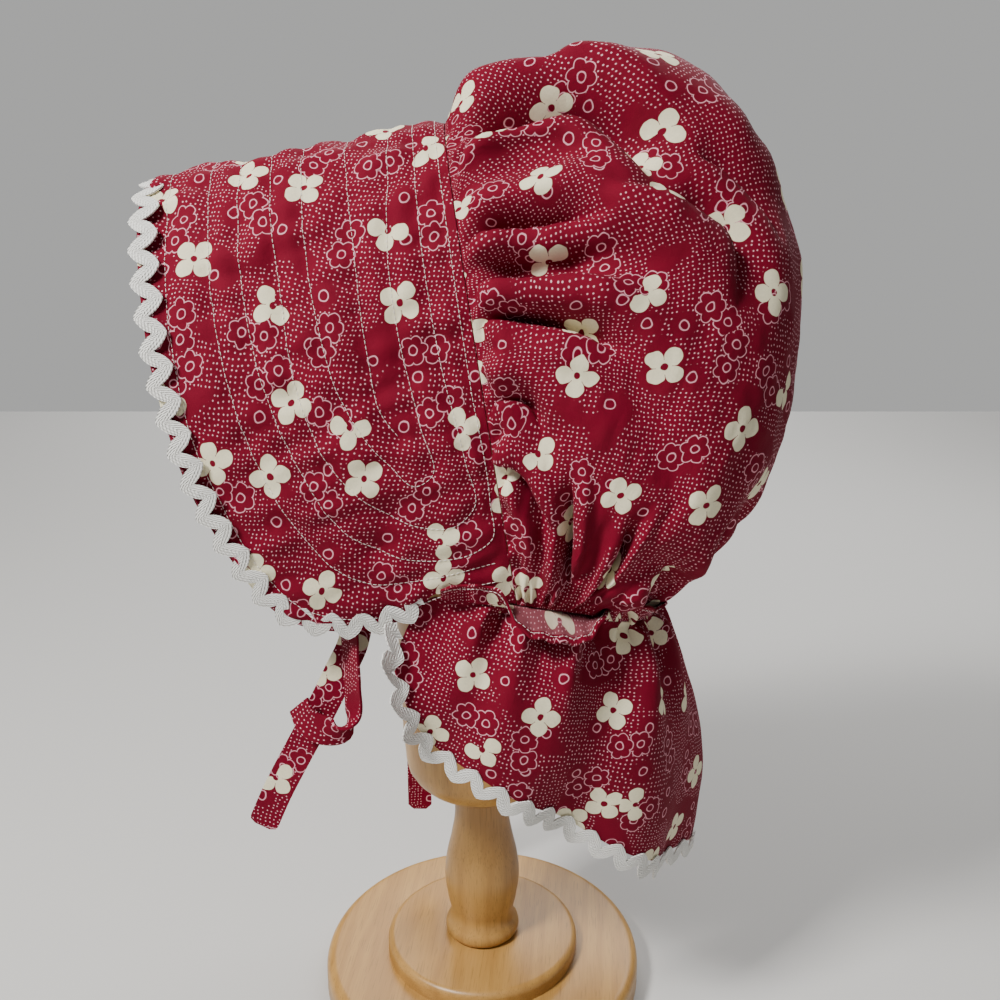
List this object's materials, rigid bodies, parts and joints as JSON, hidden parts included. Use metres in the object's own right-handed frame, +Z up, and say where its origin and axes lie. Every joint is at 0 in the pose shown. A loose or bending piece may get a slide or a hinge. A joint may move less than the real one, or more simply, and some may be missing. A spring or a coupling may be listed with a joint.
{
  "type": "sunbonnet on a wooden hat stand",
  "caption": "Gathered cotton sunbonnet with a quilted brim, neck frill, curtain, rickrack edging and ties, on a turned wooden hat stand.",
  "frame": {"origin": "centre of the stand base's underside", "axes": "+Z up along the stand's axis; the bonnet's face opening faces -Y; +X is the wearer's left side"},
  "size_m": [0.1989, 0.3217, 0.5305],
  "materials": {
    "brim": "matte quilted cotton print",
    "brim_braid": "matte woven braid",
    "crown": "matte cotton print",
    "neck_frill": "matte cotton print",
    "curtain": "matte cotton print",
    "curtain_braid": "matte woven braid",
    "tie_left": "matte cotton print",
    "tie_right": "matte cotton print",
    "stand_base": "satin clear-finished pale wood",
    "stand_column": "satin clear-finished pale wood",
    "stand_top": "satin clear-finished pale wood"
  },
  "bodies": {
    "root": {"brim": "brim", "brim_braid": "brim_braid", "crown": "crown", "neck_frill": "neck_frill", "curtain": "curtain", "curtain_braid": "curtain_braid", "tie_left": "tie_left", "tie_right": "tie_right", "stand_base": "stand_base", "stand_column": "stand_column", "stand_top": "stand_top"}
  },
  "joints": []
}
